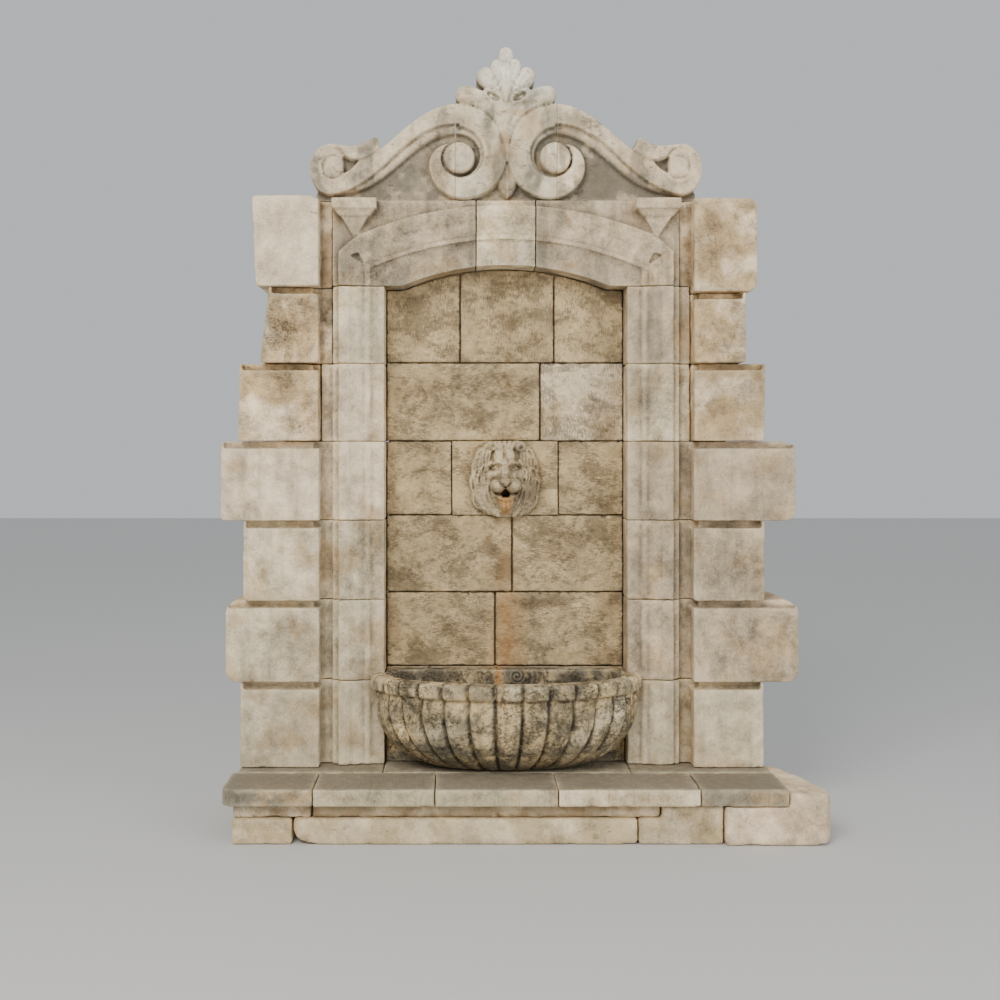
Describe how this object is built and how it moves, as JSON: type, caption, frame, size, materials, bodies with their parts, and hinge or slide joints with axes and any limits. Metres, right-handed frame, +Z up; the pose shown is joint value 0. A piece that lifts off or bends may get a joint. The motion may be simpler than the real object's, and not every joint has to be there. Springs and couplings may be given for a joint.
{
  "type": "wall fountain",
  "caption": "Stone wall fountain: rusticated piers and a moulded arch frame a panel with a lion mask spout over a half-round gadrooned basin, on a slab plinth, under a scrolled pediment.",
  "frame": {"origin": "on the flat underside, on the fountain's centre line, in the plane of the jambs' foremost moulding", "axes": "+X to the right as seen from the front, +Y back into the wall, +Z up"},
  "size_m": [2.347, 0.64, 3.0903],
  "materials": {
    "plinth_slabs": "tooled, weathered grey on top",
    "base_stones": "rough hewn, beige to brown",
    "piers": "dressed, cream grey, weathered",
    "quoins": "tooled, tan to cream, weathered",
    "panel": "rough, pitted, ochre with dark stains",
    "arch": "dressed, cream grey, weathered",
    "basin": "carved, mottled ochre, grey and black",
    "pediment": "carved, light grey, weathered dark in the hollows"
  },
  "bodies": {
    "root": {"plinth_slab_1": "plinth_slabs", "plinth_slab_2": "plinth_slabs", "plinth_slab_3": "plinth_slabs", "plinth_slab_4": "plinth_slabs", "plinth_slab_5": "plinth_slabs", "back_slab_left": "plinth_slabs", "back_slab_middle": "plinth_slabs", "back_slab_right": "plinth_slabs", "levelling_slab_left": "base_stones", "levelling_slab_right": "base_stones", "base_left": "base_stones", "base_beam": "base_stones", "base_block": "base_stones", "base_end_block": "base_stones", "left_pier_stone_1": "piers", "left_pier_stone_2": "piers", "left_pier_stone_3": "piers", "left_pier_stone_4": "piers", "left_quoin_5": "quoins", "left_jamb_5": "piers", "left_quoin_6": "quoins", "left_jamb_6": "piers", "left_quoin_7": "quoins", "right_pier_stone_1": "piers", "right_pier_stone_2": "piers", "right_pier_stone_3": "piers", "right_pier_stone_4": "piers", "right_quoin_5": "quoins", "right_jamb_5": "piers", "right_quoin_6": "quoins", "right_jamb_6": "piers", "right_quoin_7": "quoins", "panel_foot": "panel", "panel_2_left": "panel", "panel_2_right": "panel", "panel_3_left": "panel", "panel_3_right": "panel", "panel_4_left": "panel", "mask_stone": "panel", "panel_4_right": "panel", "panel_5_left": "panel", "panel_5_right": "panel", "panel_6_left": "panel", "panel_6_middle": "panel", "panel_6_right": "panel", "arch_springer_left": "arch", "keystone": "arch", "arch_springer_right": "arch", "basin": "basin", "pediment_left": "pediment", "pediment_middle": "pediment", "pediment_right": "pediment"}
  },
  "joints": []
}
